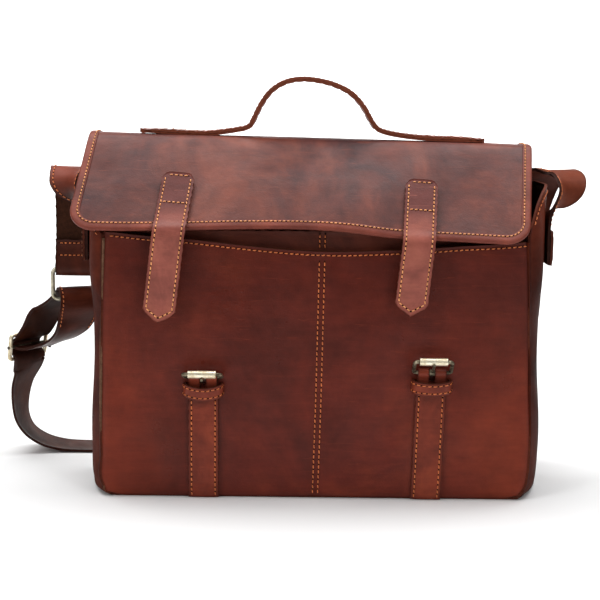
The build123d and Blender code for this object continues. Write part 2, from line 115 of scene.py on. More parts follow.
class Nodes:
    """A short way to build one material's nodes."""

    def __init__(self, name):
        self.material = bpy.data.materials.new(name)
        self.material.use_nodes = True
        self.tree = self.material.node_tree
        self.shader = self.tree.nodes["Principled BSDF"]
        self.place = self.add("ShaderNodeTexCoord").outputs["Object"]

    def add(self, kind, **values):
        node = self.tree.nodes.new(kind)
        for key, value in values.items():
            setattr(node, key, value)
        return node

    def feed(self, socket, value):
        """Links another socket to this one, or sets its constant."""
        if isinstance(value, bpy.types.NodeSocket):
            self.tree.links.new(value, socket)
        else:
            socket.default_value = value

    def set(self, node, **values):
        """Feeds a node's inputs by name, with _ for a space."""
        for key, value in values.items():
            self.feed(node.inputs[key.replace("_", " ")], value)
        return node

    def axis(self, name):
        """One coordinate of the place on the object, in metres."""
        return self.set(self.add("ShaderNodeSeparateXYZ"), Vector=self.place).outputs[name]

    def noise(self, scale, detail=4, rough=0.55, stretch=None, distortion=0.0):
        """Noise, where stretch is the scale and the rotation of its place."""
        place = self.place
        if stretch:
            scaling, rotation = stretch
            mapping = self.set(self.add("ShaderNodeMapping"), Scale=scaling, Rotation=rotation, Vector=place)
            place = mapping.outputs["Vector"]
        node = self.set(self.add("ShaderNodeTexNoise"), Scale=scale, Detail=detail, Roughness=rough,
                        Distortion=distortion, Vector=place)
        return node.outputs["Fac"]

    def ramp(self, source, *stops):
        """A colour for each value of source, through (position, colour) stops."""
        node = self.add("ShaderNodeValToRGB")
        elements = node.color_ramp.elements
        while len(elements) < len(stops):
            elements.new(0.5)
        for element, (at, color) in zip(elements, stops):
            element.position = at
            element.color = color
        return self.set(node, Fac=source).outputs["Color"]

    def grey(self, source, *stops):
        return self.ramp(source, *[(at, (v, v, v, 1)) for at, v in stops])

    def mix(self, factor, a, b, blend="MIX"):
        node = self.add("ShaderNodeMix", data_type="RGBA", blend_type=blend)
        for index, value in ((0, factor), (6, a), (7, b)):
            self.feed(node.inputs[index], value)
        return node.outputs[2]

    def attribute(self, name):
        return self.add("ShaderNodeAttribute", attribute_name=name).outputs["Fac"]

    def maths(self, kind, a, b=0.0):
        node = self.add("ShaderNodeMath", operation=kind)
        self.feed(node.inputs[0], a)
        self.feed(node.inputs[1], b)
        return node.outputs[0]

    def ranged(self, source, low, high):
        """0 at low, 1 at high, and evenly between them."""
        node = self.set(self.add("ShaderNodeMapRange"), From_Min=low, From_Max=high, Value=source)
        return node.outputs["Result"]

    def bump(self, *layers):
        """Chains (height, strength, distance) layers into the shader's normal."""
        normal = {}
        for height, strength, distance in layers:
            node = self.add("ShaderNodeBump")
            self.set(node, Strength=strength, Distance=distance, Height=height, **normal)
            normal = {"Normal": node.outputs["Normal"]}
        self.set(self.shader, **normal)


WARM_CORNER = (122, 45, 23)


def leather(name, base, dark, warm, rough, mottle, edge=None, specular=0.15, sides=False, painted_light=None):
    """Waxed pull-up leather: blotches, fine streaks, pores, creases and darker cut edges.

    sides warms the colour towards the bag's two lower corners. The last argument, (low, high, tone, amount), is
    painted light and shading by height: the colour goes over to tone between the heights low and high, in
    metres, by at most amount.
    """
    m = Nodes(name)
    base, dark, warm = linear(base), linear(dark), linear(warm)
    blotch = m.noise(mottle, 5, 0.62, distortion=0.6)
    color = m.ramp(blotch, (0.30, dark), (0.50, base), (0.66, warm))
    if sides:
        far = m.maths("ABSOLUTE", m.maths("SUBTRACT", m.axis("X"), -0.008))
        lowness = m.grey(m.axis("Z"), (0.05, 1.0), (0.20, 0.0))
        warmth = m.maths("MULTIPLY", m.grey(far, (0.10, 0.0), (0.17, 0.62)), lowness)
        color = m.mix(warmth, color, linear(WARM_CORNER))
    # Painted light and shading by height: the colour goes over to a tone that stands for the light there
    if painted_light:
        low, high, tone, amount = painted_light
        color = m.mix(m.maths("MULTIPLY", m.ranged(m.axis("Z"), low, high), amount), color, linear(tone))
    cloud = m.grey(m.noise(55, 6, 0.65), (0.30, 0.78), (0.70, 1.18))
    color = m.mix(0.75, color, cloud, "MULTIPLY")
    streak = m.noise(90, 5, 0.7, stretch=((0.25, 1, 1.6), (0.0, 0.12, 0.0)))
    color = m.mix(0.5, color, m.grey(streak, (0.35, 0.78), (0.65, 1.16)), "MULTIPLY")
    scratch = m.noise(38, 2, 0.5, stretch=((0.35, 1, 7.0), (0.0, 0.5, 0.0)), distortion=1.2)
    scratch = m.grey(scratch, (0.655, 0.0), (0.675, 0.55), (0.69, 0.0))
    color = m.mix(scratch, color, warm)
    rim = m.attribute("rim")
    color = m.mix(m.grey(rim, (0.0, 0.72), (0.16, 0.30), (0.6, 0.0)), color, linear(edge) if edge else dark)
    shine = m.grey(m.noise(26, 6, 0.6), (0.32, max(rough - 0.10, 0.05)), (0.68, rough + 0.12))
    m.set(m.shader, Base_Color=color, Roughness=shine, Specular_IOR_Level=specular)
    grain = m.set(m.add("ShaderNodeTexVoronoi"), Scale=760.0, Vector=m.place)
    m.bump((m.noise(34, 5, 0.6), 0.35, 0.0016), (m.noise(210, 4, 0.6), 0.30, 0.0004),
           (grain.outputs["Distance"], 0.16, 0.0004))
    return m.material


def flesh(name, base, dark, rough=0.85):
    """The unfinished back of leather: fibrous and matt."""
    m = Nodes(name)
    fibre = m.noise(320, 6, 0.75)
    color = m.ramp(fibre, (0.25, linear(dark)), (0.75, linear(base)))
    color = m.mix(0.6, color, m.grey(m.noise(30, 4), (0.3, 0.7), (0.7, 1.2)), "MULTIPLY")
    m.set(m.shader, Base_Color=color, Roughness=rough, Specular_IOR_Level=0.08)
    m.bump((fibre, 0.5, 0.0005))
    return m.material


def thread(name, light, dark):
    """Waxed thread, twisted from a light and a dark tone."""
    m = Nodes(name)
    twist = m.noise(900, 3, 0.6)
    color = m.ramp(twist, (0.3, linear(dark)), (0.6, linear(light)))
    color = m.mix(0.55, color, m.grey(m.noise(40, 3), (0.35, 0.65), (0.65, 1.15)), "MULTIPLY")
    m.set(m.shader, Base_Color=color, Roughness=0.55)
    m.bump((twist, 0.5, 0.0002))
    return m.material


def cloth(name, light, dark):
    """A plain weave: bands up and across, multiplied."""
    m = Nodes(name)
    bands = []
    for direction in ("Z", "X"):
        wave = m.add("ShaderNodeTexWave", bands_direction=direction)
        bands.append(m.set(wave, Scale=170.0, Distortion=1.5, Detail=2.0, Vector=m.place).outputs["Fac"])
    weave = m.maths("MULTIPLY", *bands)
    color = m.ramp(weave, (0.1, linear(dark)), (0.7, linear(light)))
    color = m.mix(0.5, color, m.grey(m.noise(18, 5), (0.3, 0.75), (0.7, 1.15)), "MULTIPLY")
    m.set(m.shader, Base_Color=color, Roughness=0.9, Specular_IOR_Level=0.1)
    m.bump((weave, 0.4, 0.0005))
    return m.material


def brass(name, bright, tarnish, rough, tarnish_share):
    """Brushed metal with tarnished patches; a larger tarnish_share has more of them."""
    m = Nodes(name)
    patch = m.noise(120, 6, 0.65)
    lo = 0.30 + 0.25 * tarnish_share
    color = m.ramp(patch, (lo, linear(tarnish)), (lo + 0.22, linear(bright)))
    shine = m.grey(patch, (lo, rough + 0.22), (lo + 0.25, rough))
    m.set(m.shader, Base_Color=color, Metallic=1.0, Roughness=shine)
    brushed = m.noise(500, 3, 0.6, stretch=((0.12, 1, 1), (0, 0, 0)))
    m.bump((brushed, 0.15, 0.0002), (m.noise(140, 4), 0.12, 0.0004))
    return m.material


# Each leather: its base, dark and warm colours, roughness, mottle, and the colour of its rim
LEATHER_FLAP = leather("leather_flap", (95, 49, 42), (64, 37, 38), (120, 62, 48), 0.48, 15, (104, 50, 38),
                       specular=0.2)
# Painted shading: the body leather goes darker upwards, from 0.10 m to 0.24 m
LEATHER_BODY = leather("leather_body", (99, 36, 25), (74, 27, 19), (116, 46, 29), 0.36, 9, (66, 24, 16),
                       sides=True, painted_light=(0.10, 0.24, (68, 23, 16), 0.6))
LEATHER_INNER = leather("leather_inner", (98, 44, 31), (62, 28, 20), (110, 50, 34), 0.55, 12)
# Painted light: the gusset leather goes lighter towards its top, from 0.19 m to 0.25 m, where it is lit
LEATHER_SIDE = leather("leather_side", (64, 25, 17), (38, 16, 12), (86, 36, 23), 0.6, 12, specular=0.03,
                       painted_light=(0.19, 0.25, (104, 45, 29), 0.75))
LEATHER_TRIM = leather("leather_trim", (122, 60, 48), (96, 46, 38), (138, 70, 54), 0.46, 20, (84, 36, 27),
                       specular=0.18)
# Painted shading: the closure leather goes darker towards the top, from 0.236 m to 0.262 m, where it lies on
# the flap's slope
LEATHER_TAIL = leather("leather_tail", (149, 83, 71), (117, 63, 56), (164, 94, 78), 0.42, 24, (96, 42, 32),
                       specular=0.16, painted_light=(0.236, 0.262, (96, 46, 41), 1.0))
LEATHER_BUCKLE = leather("leather_buckle", (122, 50, 33), (94, 38, 27), (142, 62, 39), 0.42, 22, (72, 28, 18),
                         specular=0.18)
LEATHER_HANDLE = leather("leather_handle", (118, 54, 37), (86, 38, 27), (140, 68, 47), 0.42, 30, (98, 43, 30))
# The shoulder strap's leather in two copies: the first has painted light, lighter above 0.262 m, and the second
# is plain
LONG_LEATHER = ((72, 32, 21), (44, 19, 13), (94, 42, 27), 0.42, 16, (46, 19, 12), 0.12)
LEATHER_LONG_PAINTED_LIGHT = leather("leather_long", *LONG_LEATHER, painted_light=(0.262, 0.284, (124, 60, 45), 1.0))
LONG_FACE = leather("leather_long_face", *LONG_LEATHER)
# Painted light: the strap's back goes lighter towards the top, from 0.235 m to 0.275 m
LONG_BACK = leather("leather_long_back", (64, 31, 20), (40, 19, 12), (80, 40, 25), 0.55, 20, (40, 18, 12),
                    specular=0.07, painted_light=(0.235, 0.275, (108, 51, 33), 1.0))
FLESH_DARK = flesh("flesh_dark", (74, 42, 28), (42, 23, 15))
FLESH_STRAP = flesh("flesh_strap", (74, 46, 34), (40, 24, 17))
CUT_EDGE = flesh("cut_edge", (104, 50, 35), (62, 29, 20), 0.6)
CUT_HANDLE = flesh("cut_handle", (136, 72, 50), (114, 58, 42), 0.6)
CUT_DARK = flesh("cut_dark", (60, 28, 20), (32, 15, 11), 0.6)
CUT_PALE = flesh("cut_pale", (132, 100, 78), (78, 48, 35), 0.7)
THREAD_GOLD = thread("thread_gold", (250, 176, 112), (212, 124, 70))
THREAD_ORANGE = thread("thread_orange", (232, 130, 66), (180, 84, 38))
# Stitch holes: the holes are real, and their dark colour is painted shadow in them
HOLE_SHADOW = flesh("stitch_hole_shadow", (44, 18, 12), (22, 9, 6), 0.8)
THREAD_BROWN = thread("thread_brown", (150, 82, 44), (92, 44, 24))
COTTON = cloth("lining_cotton", (128, 94, 66), (66, 45, 32))
BOARD = cloth("stiffening_board_fibre", (96, 84, 70), (66, 56, 46))
BRASS_BRIGHT = brass("brass_bright", (254, 246, 220), (206, 188, 150), 0.36, 0.15)
BRASS_DARK = brass("brass_dark", (168, 158, 134), (84, 75, 62), 0.38, 0.5)
BRASS_RING = brass("brass_ring", (214, 206, 182), (140, 132, 110), 0.27, 0.3)

# A sheet's grain side, back and cut edge, and the body and slot of the sheets that are most common
BODY_SHEET = [LEATHER_BODY, FLESH_DARK, CUT_EDGE]
INNER_SHEET = [LEATHER_INNER, FLESH_DARK, CUT_EDGE]
SIDE_SHEET = [LEATHER_SIDE, FLESH_DARK, CUT_EDGE]
FLAP_SHEET = [LEATHER_FLAP, FLESH_DARK, CUT_EDGE]
TAIL_SHEET = [LEATHER_TAIL, FLESH_STRAP, CUT_EDGE]
BUCKLE_SHEET = [LEATHER_BUCKLE, FLESH_STRAP, CUT_EDGE]
BODY = {"body": "bag", "slot": "body_leather"}
BUCKLE = {"body": "bag", "slot": "buckle_strap_leather"}


# ---- Mesh building ----

def build(name, verts, faces, mats, indices=None, rim=None, body=None, slot=None):
    """One piece from its vertices in mm; indices picks each face's material, and rim is 0 at a cut edge."""
    mesh = bpy.data.meshes.new(name)
    mesh.from_pydata((np.asarray(verts) * MM).tolist(), [], [list(map(int, f)) for f in faces])
    for material in mats:
        mesh.materials.append(material)
    if indices is not None:
        mesh.polygons.foreach_set("material_index", np.asarray(indices, np.int32))
    mesh.polygons.foreach_set("use_smooth", np.full(len(mesh.polygons), True))
    if rim is not None:
        attribute = mesh.attributes.new("rim", "FLOAT", "POINT")
        attribute.data.foreach_set("value", np.asarray(rim, np.float32))
    mesh.update()
    obj = bpy.data.objects.new(name, mesh)
    scene.collection.objects.link(obj)
    if body:
        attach(obj, body)
    return obj


def quads(n, m, offset=0):
    """The faces of a grid of n by m vertices, whose first vertex has the number offset."""
    i, j = np.meshgrid(np.arange(n - 1), np.arange(m - 1), indexing="ij")
    a = (i * m + j).ravel() + offset
    return np.stack([a, a + m, a + m + 1, a + 1], axis=1)


def surface_normals(p):
    return unit(np.cross(np.gradient(p, axis=0), np.gradient(p, axis=1)))


def facing(p, direction):
    """The grid p, turned over if its middle looks away from direction."""
    n, m = p.shape[:2]
    return p if surface_normals(p)[n // 2, m // 2].dot(direction) >= 0 else p[:, ::-1]


def rounded(radius, share):
    """How far a round corner has fallen back, where share is 0 at the arc's start and 1 at its end."""
    return radius * (1 - np.sqrt(np.maximum(1 - share ** 2, 0)))


def slab(name, p, thick, mats, body=None, slot=None, bevel=0.5, rim_reach=7.0):
    """A closed sheet of leather: p is its (n, m, 3) outer surface in mm, and the back is thick mm behind it.

    Its rim, where the colour of the cut edge shows, reaches rim_reach mm in from the edge.
    """
    n, m, _ = p.shape
    normals = surface_normals(p)
    q = p - normals * (thick[..., None] if isinstance(thick, np.ndarray) else thick)
    verts = np.concatenate([p.reshape(-1, 3), q.reshape(-1, 3)])
    front = quads(n, m)
    back = quads(n, m, n * m)[:, ::-1]
    ring = [(i, 0) for i in range(n)] + [(n - 1, j) for j in range(1, m)]
    ring += [(i, m - 1) for i in range(n - 2, -1, -1)] + [(0, j) for j in range(m - 2, 0, -1)]
    ring = np.array([i * m + j for i, j in ring])
    after = np.roll(ring, -1)
    sides = np.stack([after + n * m, ring + n * m, ring, after], axis=1)
    faces = np.concatenate([front, back, sides])
    indices = [0] * len(front) + [1] * len(back) + [2] * len(sides)
    along, over = lengths_to(p), lengths_to(p.swapaxes(0, 1)).T
    away = np.minimum(np.minimum(along, along[-1:] - along), np.minimum(over, over[:, -1:] - over))
    rim = np.tile(np.clip(away / rim_reach, 0, 1).ravel(), 2)
    obj = build(name, verts, faces, mats, indices, rim, slot=slot)
    if bevel:
        mod = obj.modifiers.new("rounded_edges", "BEVEL")
        mod.width = bevel * MM
        mod.segments = 2
        mod.limit_method = "ANGLE"
        mod.angle_limit = math.radians(50)
    if body:
        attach(obj, body)
    return obj


STITCH_SIDES, HOLE_SIDES = 6, 8
STITCH_LIFT = 0.2
HOLE_TOP, HOLE_FLOOR = 0.12, -0.4
# A stitch's cross-sections: place along it, size, and rise above the leather
STITCH_SECTIONS = [(-0.5, 0.25, -0.35), (-0.36, 0.85, 0.1), (0.0, 1.0, 0.3), (0.36, 0.85, 0.1),
                   (0.5, 0.25, -0.35)]


def circle(count):
    """The cosine and sine of count evenly spread angles."""
    return [(math.cos(2 * math.pi * q / count), math.sin(2 * math.pi * q / count)) for q in range(count)]


def tube_faces(first, around, sections):
    """The faces of a tube of sections rings, each of around vertices, and its two caps."""
    faces = []
    for r in range(sections - 1):
        for q in range(around):
            a, b = first + r * around + q, first + r * around + (q + 1) % around
            faces.append((a, b, b + around, a + around))
    last = first + (sections - 1) * around
    return faces + [tuple(range(first + around - 1, first - 1, -1)), tuple(range(last, last + around))]


def stitch_run(points, normals, pitch, width=1.1, gap=1.2):
    """A row of stitches along points: its vertices, its faces and those of the holes between its stitches,
    where the hole is real and its dark colour is painted shadow.

    normals is the leather's normal at each point, or one for all of them.
    """
    points = np.asarray(points, float)
    normals = unit(np.broadcast_to(np.asarray(normals, float), points.shape))
    s = lengths_to(points)
    count = max(int(round(s[-1] / pitch)), 1)
    length = s[-1] / count - gap

    def at(values, place):
        return np.array([np.interp(place, s, values[:, c]) for c in range(3)])

    verts, faces, holes = [], [], []
    for k in range(count):
        mid = (k + 0.5) * s[-1] / count
        centre = at(points, mid)
        along = unit(at(points, min(mid + 1, s[-1])) - at(points, max(mid - 1, 0)))
        up = unit(at(normals, mid))
        up = unit(up - along * up.dot(along))
        side = np.cross(up, along)
        # The hole's dark disc: the hole is real, and its darkness is painted shadow
        first = len(verts)
        for height in (HOLE_TOP, HOLE_FLOOR):
            for c, r in circle(HOLE_SIDES):
                reach = along * c * (gap * 0.5 + 0.45) + side * r * width * 0.5
                verts.append(centre + along * s[-1] / count * 0.5 + reach + up * height)
        holes += [face[::-1] for face in tube_faces(first, HOLE_SIDES, 2)]
        along = unit(along + side * (0.09 * math.sin(k * 2.4) + 0.10))
        side = np.cross(up, along)
        first = len(verts)
        for place, size, rise in STITCH_SECTIONS:
            middle = centre + along * place * length + up * (STITCH_LIFT + rise * width * 0.8)
            for c, r in circle(STITCH_SIDES):
                verts.append(middle + (side * c + up * r * 0.8) * width * 0.5 * size)
        faces += tube_faces(first, STITCH_SIDES, len(STITCH_SECTIONS))
    return verts, faces, holes


class Stitching:
    """Rows of stitches gathered into one piece."""

    def __init__(self, name, material, pitch):
        self.name, self.material, self.pitch = name, material, pitch
        self.verts, self.faces, self.holes = [], [], []

    def row(self, points, normals, **extra):
        verts, faces, holes = stitch_run(points, normals, self.pitch, **extra)
        offset = len(self.verts)
        self.verts += verts
        self.faces += [tuple(i + offset for i in f) for f in faces]
        self.holes += [tuple(i + offset for i in f) for f in holes]

    def pair(self, strap, s0, s1, t, out, **extra):
        """Two rows along a strap, t mm to each side of its middle."""
        for sign in (-1, 1):
            self.row(*strap.line(s0, s1, sign * t, out), **extra)

    def make(self, body=None):
        # The holes' dark discs carry the painted shadow in the stitch holes
        indices = [0] * len(self.faces) + [1] * len(self.holes)
        mats = [self.material, HOLE_SHADOW]
        return build(self.name, self.verts, self.faces + self.holes, mats, indices, body=body)


class Strap:
    """A flat strap along (middle, across) stations, with shaped ends and a slightly crowned face."""

    def __init__(self, stations, width, towards, near=None, step=2.0):
        """The outer face is the one that looks towards the given direction at near mm along, or halfway."""
        rows = np.array([[*middle, *across] for middle, across in stations], float)
        self.rows, self.s = smooth_path(rows, step)
        self.length = self.s[-1]
        self.width = width
        self.face = 1.0
        if self.at(self.length / 2 if near is None else near)[2].dot(towards) <= 0:
            self.face = -1.0

    def at(self, s):
        """The middle of the strap, the direction across it and the direction out of its face, s mm along."""
        s = np.clip(s, 0, self.length)

        def rows(place, columns):
            return np.stack([np.interp(place, self.s, self.rows[:, k]) for k in columns], axis=-1)

        ahead, behind = np.minimum(s + 1.5, self.length), np.maximum(s - 1.5, 0)
        along = unit(rows(ahead, range(3)) - rows(behind, range(3)))
        middle, across = rows(s, range(3)), rows(s, range(3, 6))
        across = unit(across - along * np.sum(across * along, axis=-1, keepdims=True))
        return middle, across, np.cross(along, across) * self.face

    def nearest(self, point):
        """How far along the strap it passes nearest to a point."""
        return self.s[np.argmin(np.linalg.norm(self.rows[:, :3] - point, axis=1))]

    def point(self, s, t, out=0.0):
        """s mm along and t mm across, out mm from the middle layer."""
        middle, across, face = self.at(np.asarray(s, float))
        t = np.asarray(t, float)[..., None]
        return middle + across * t + face * (np.asarray(out, float)[..., None] if np.ndim(out) else out)

    def skived(self, s):
        """How far the strap is thinned towards its two ends, 0 to 1."""
        return np.clip(1 - np.minimum(s, self.length - s) / 22, 0, 1) ** 1.4

    def piece(self, name, thick, mats, out=None, start=None, end=None, crown=0.3, inset=0.0, m=11, skive=0.0,
              **extra):
        """A layer of the strap, whose face is out mm from the middle; start and end shape its two ends."""
        t = np.linspace(-1, 1, m)
        first = start(t) if start else 0 * t
        last = self.length - (end(t) if end else 0 * t)
        share = np.linspace(0, 1, max(int(self.length / 2.2), 6))[:, None]
        s = first[None] + (last - first)[None] * share
        across = np.broadcast_to(t * (self.width / 2 - inset), s.shape)
        lift = (thick / 2 if out is None else out) + crown * (1 - (t ** 4)[None]) - skive * self.skived(s)
        p = facing(self.point(s, across, lift), self.at(self.length / 2)[2])
        if skive:
            s = np.linspace(0, self.length, len(p))[:, None]
            thick = thick - 0.5 * skive * self.skived(s) * np.ones(p.shape[:2])
        return slab(name, p, thick, mats, **extra)

    def line(self, s0, s1, t, out):
        """Points and normals of a line along the strap."""
        s = np.linspace(s0, s1, max(int(abs(s1 - s0) / 2), 2))
        return self.point(s, np.full_like(s, t), out), self.at(s)[2]

    def cross(self, s, t0, t1, out):
        """Points and normals of a line across the strap."""
        t = np.linspace(t0, t1, 8)
        s = np.full_like(t, s)
        return self.point(s, t, out), self.at(s)[2]


def finish_blend(obj, a, b, start, end, *nodes):
    """One sheet, its transform baked into its mesh; nodes are the CAD nodes that it replaces. The bodies a and
    b and the points start and end are not used.
    """
    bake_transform(obj)
    if nodes:
        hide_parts(*nodes)
    return obj


# ---- Body shell ----

POCKET_STITCH = [(-179, 233), (-149, 230), (-116, 228), (-76, 224), (-16, 219), (10, 218), (67, 220),
                 (100, 222), (125, 224), (158, 226), (181, 228)]
FRONT_Y = -50.0
DEPTH_HALF = 50
POCKET_HEM = 3.2


def pocket_lip(x):
    """The height of the pocket's sagging top edge."""
    return curve_through(*zip(*POCKET_STITCH), np.clip(x, -179, 181)) + POCKET_HEM


def left_edge(z):
    """The body's outline seen from the front."""
    return curve_through([0, 2, 10, 40, 110, 177, 231, 260],
                         [-176, -183, -188.5, -190, -189.3, -188, -186, -185], z)


def right_edge(z):
    return curve_through([0, 3, 10, 22, 40, 110, 177, 231, 260],
                         [172, 180, 186, 189, 190, 187.5, 184.5, 182, 181], z)


def front_bulge(x, z):
    """How far the pocket's face stands out from its flat plane."""
    body = 3.6 * np.cos(np.clip(x / 190, -1, 1) * math.pi / 2) ** 0.6
    body = body * np.sin(np.clip(z / 232, 0, 1) * math.pi) ** 0.7
    for bx, bz in ((-99, 100), (101, 106)):  # held flat behind the buckles
        body = body * (1 - 0.92 * np.exp(-((x - bx) / 34) ** 2 - ((z - bz) / 42) ** 2))
    waves = 0.9 * np.sin(x / 31 + z / 60) * np.sin(z / 38 + 1.3) + 0.6 * np.sin(x / 17 - z / 45 + 2)
    seam = -1.5 * np.exp(-((x - (2 + (z - 110) * 0.016)) / 5.0) ** 2)
    edge = np.clip(np.minimum(x + 190, 190 - x) / 22, 0, 1)
    return body + waves * edge * np.clip(z / 30, 0, 1) + seam * np.clip((225 - z) / 10, 0, 1)


def front_y(x, z):
    """The pocket's face, rounded off at the base and at its two edges."""
    bottom = 5.0 * np.clip(1 - z / 5.0, 0, 1) ** 2
    edge = np.minimum(x - left_edge(z), right_edge(z) - x)
    corner = 3.2 * np.clip(1 - edge / 6.0, 0, 1) ** 2
    return FRONT_Y - np.maximum(front_bulge(x, z), -0.6) + bottom + corner


def on_front(x, z):
    return np.stack([x, front_y(x, z), z], axis=-1)


def front_grid(u_count, v_count):
    """The pocket's face, finer towards its lip."""
    u = np.linspace(0, 1, u_count)
    low, top = 0.6, pocket_lip(np.linspace(-187, 185, u_count))
    columns = []
    for share in np.linspace(0, 1, v_count) ** 0.9:
        z = low + (top - low) * share
        left, right = left_edge(z), right_edge(z)
        columns.append(on_front(left + (right - left) * u, z))
    return np.stack(columns, axis=1)


pocket = slab("front_pocket_face", front_grid(150, 96), 2.6, BODY_SHEET, bevel=0.7, **BODY)
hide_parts("front_pocket")


def wall(name, x0, x1, y, z0, z1, outward, mats, node, wave, seed=0.0):
    """An inner or back panel with a little slack in it; outward is the y direction its grain side faces."""
    u, v = np.meshgrid(np.linspace(0, 1, 70), np.linspace(0, 1, 50), indexing="ij")
    x = x0 + (x1 - x0) * u
    z = z0 + (z1 - z0) * v
    soft = np.sin(np.pi * u) * np.sin(np.pi * v)
    slack = wave * soft * (0.6 + 0.5 * np.sin(x / 37 + seed) * np.cos(z / 29 + seed))
    p = np.stack([x, y + outward * slack, z], axis=-1)
    if outward > 0:
        p = p[::-1]
    piece = slab(name, p, 2.4, mats, **BODY)
    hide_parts(node)


wall("front_panel_sheet", -186.5, 183, -41.6, 3, 238, -1, INNER_SHEET, "front_panel", 0.5)
wall("back_panel_sheet", -187.5, 187.5, 50.0, 2, 311, 1, BODY_SHEET, "back_panel", 1.4, 2.0)


def gusset_top(side, y):
    """The free top edge; the right one stands beside the flap's edge, and the left one is tucked under it."""
    if side > 0:
        return curve_through([-50, -46, -42, -34, -22, -8, 20, 50],
                             [236, 248, 260, 271, 276.5, 278, 278.5, 279], y)
    return curve_through([-50, -30, -8, 20, 50], [233, 255, 275.5, 278.5, 279], y)


def gusset_x(side, y, z):
    """A gusset bows out between its seams and creases down its middle, more towards the top."""
    v = np.clip(y / DEPTH_HALF, -1, 1)
    seam = np.where(v < 0, np.abs(right_edge(z) if side > 0 else left_edge(z)), 188.5)
    seam = seam + (188.5 - seam) * np.clip((v + 1), 0, 1)
    level = 1 / (1 + np.exp((185 - z) / 10))
    bow = 14.5 * (0.75 + 0.25 * np.cos(z / 120)) * (1 - level) + 15.5 * level
    bow = bow * (1 - np.abs(v) ** (2.4 + 1.8 * level))
    crease = -2.6 * np.exp(-((y + 12 - 0.05 * (z - 120)) / 7.0) ** 2) * np.clip(z / 200, 0, 1)
    crease = crease * np.clip((206 - z) / 30, 0, 1)
    ripple = 0.9 * np.sin(z / 19 + y / 14) * (1 - v * v)
    patch = 1 - np.exp(-(y / 26) ** 4 - ((z - 226) / 30) ** 4)
    return side * (seam + bow + (crease + ripple) * patch)


for side, word in ((-1, "left"), (1, "right")):
    u, v = np.meshgrid(np.linspace(-1, 1, 46), np.linspace(0, 1, 90), indexing="ij")
    y = DEPTH_HALF * u
    y = np.where(u < 0, y + 1.0, y - 1.0)
    z = 1.5 + (gusset_top(side, y) - 1.5) * v
    p = np.stack([gusset_x(side, y, z), y, z], axis=-1)
    if side < 0:
        p = p[::-1]
    piece = slab("gusset_sheet_" + word, p, 2.3, SIDE_SHEET, **BODY)
    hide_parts("gusset_" + word)

hems = Stitching("gusset_hem_stitching", THREAD_ORANGE, 4.4)
for side in (-1, 1):
    y = np.linspace(-45, 47, 60)
    z = gusset_top(side, y) - 5.5
    slope = (gusset_x(side, y + 0.5, z) - gusset_x(side, y - 0.5, z)) * side
    points = np.stack([gusset_x(side, y, z), y, z], axis=1)
    hems.row(points, np.stack([np.full_like(y, side), -slope, 0 * y], axis=1))
hems.make("bag")

# Base: a sheet whose rim follows the walls above it
u, v = np.meshgrid(np.linspace(-1, 1, 90), np.linspace(-1, 1, 40), indexing="ij")
half = 181 + 13 * (1 - np.abs(v) ** 2.4)
p = np.stack([u * half, 46.5 * v, 0.35 + 1.3 * np.clip(np.abs(v) - 0.9, 0, 1)], axis=-1)
base = slab("base_sheet", p[:, ::-1], 2.0, BODY_SHEET, **BODY)
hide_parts("base_panel")

# Lining: one cloth tub, with slack folds, as (height, shrink) sections from the middle of its floor up
LINING_Y = 4.2
LINING_FLOOR = ((8.0, 10), (8.0, 4), (9.5, 0.8), (14, 0))
sections = []
for z, shrink in LINING_FLOOR + tuple((z, 0) for z in range(20, 229, 8)) + ((228.5, 0.2),):
    angle = np.linspace(0, 2 * math.pi, 161)[:-1]
    c, s = np.cos(angle), np.sin(angle)
    x = np.sign(c) * np.abs(c) ** 0.16 * (183.6 - shrink)
    y = LINING_Y + np.sign(s) * np.abs(s) ** 0.22 * (41.6 - shrink)
    slack = np.sin(angle * 9 + z / 23) * np.sin(z / 31 + angle * 2) * np.clip(z / 60, 0, 1)
    y = y - np.sign(s) * np.abs(slack) * (np.abs(s) > 0.4)
    sections.append(np.stack([x, y, np.full_like(x, z)], axis=1))
sections = np.array(sections)
rows, around = sections.shape[:2]
inner = sections.copy()
inner[:, :, 0] *= 0.9945
inner[:, :, 1] = LINING_Y + (inner[:, :, 1] - LINING_Y) * 0.975
inner[:4, :, 2] += 1.0
verts, faces = [], []
for layer, grid in enumerate((sections, inner)):
    first = len(verts)
    verts += grid.reshape(-1, 3).tolist() + [[0, LINING_Y, LINING_FLOOR[0][0] + layer]]
    shell = tube_faces(first, around, rows)[:-2] + [(first + (k + 1) % around, first + k, len(verts) - 1)
                                                    for k in range(around)]
    faces += [face[::-1] for face in shell] if layer else shell
top, inner_top = (rows - 1) * around, rows * around + 1 + (rows - 1) * around
for k in range(around):
    n = (k + 1) % around
    faces.append((top + k, top + n, inner_top + n, inner_top + k))
lining = build("lining_tub", verts, faces, [COTTON], body="bag", slot="lining_cloth")
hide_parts("lining")

# Pocket and seam stitching
body_thread = Stitching("body_stitching", THREAD_ORANGE, 4.6)
FORWARD = vec(0, -1, 0)
SEAM_TOP, SEAM_HIDDEN = 215, 221
x = np.linspace(-181, 181, 180)
body_thread.row(on_front(x, pocket_lip(x) - POCKET_HEM), FORWARD)
z = np.linspace(4, 236, 90)
for gap in (-2.3, 2.3):
    shift = np.interp(z, [0, 90, 237], [0, 2, 4])
    keep, high = z < SEAM_TOP, z > SEAM_HIDDEN
    body_thread.row(on_front(shift + gap, z)[keep], FORWARD)
    row = np.stack([(shift + gap)[high], np.full(high.sum(), -42.3), z[high]], axis=1)
    body_thread.row(row, FORWARD)
body_thread.make("bag")

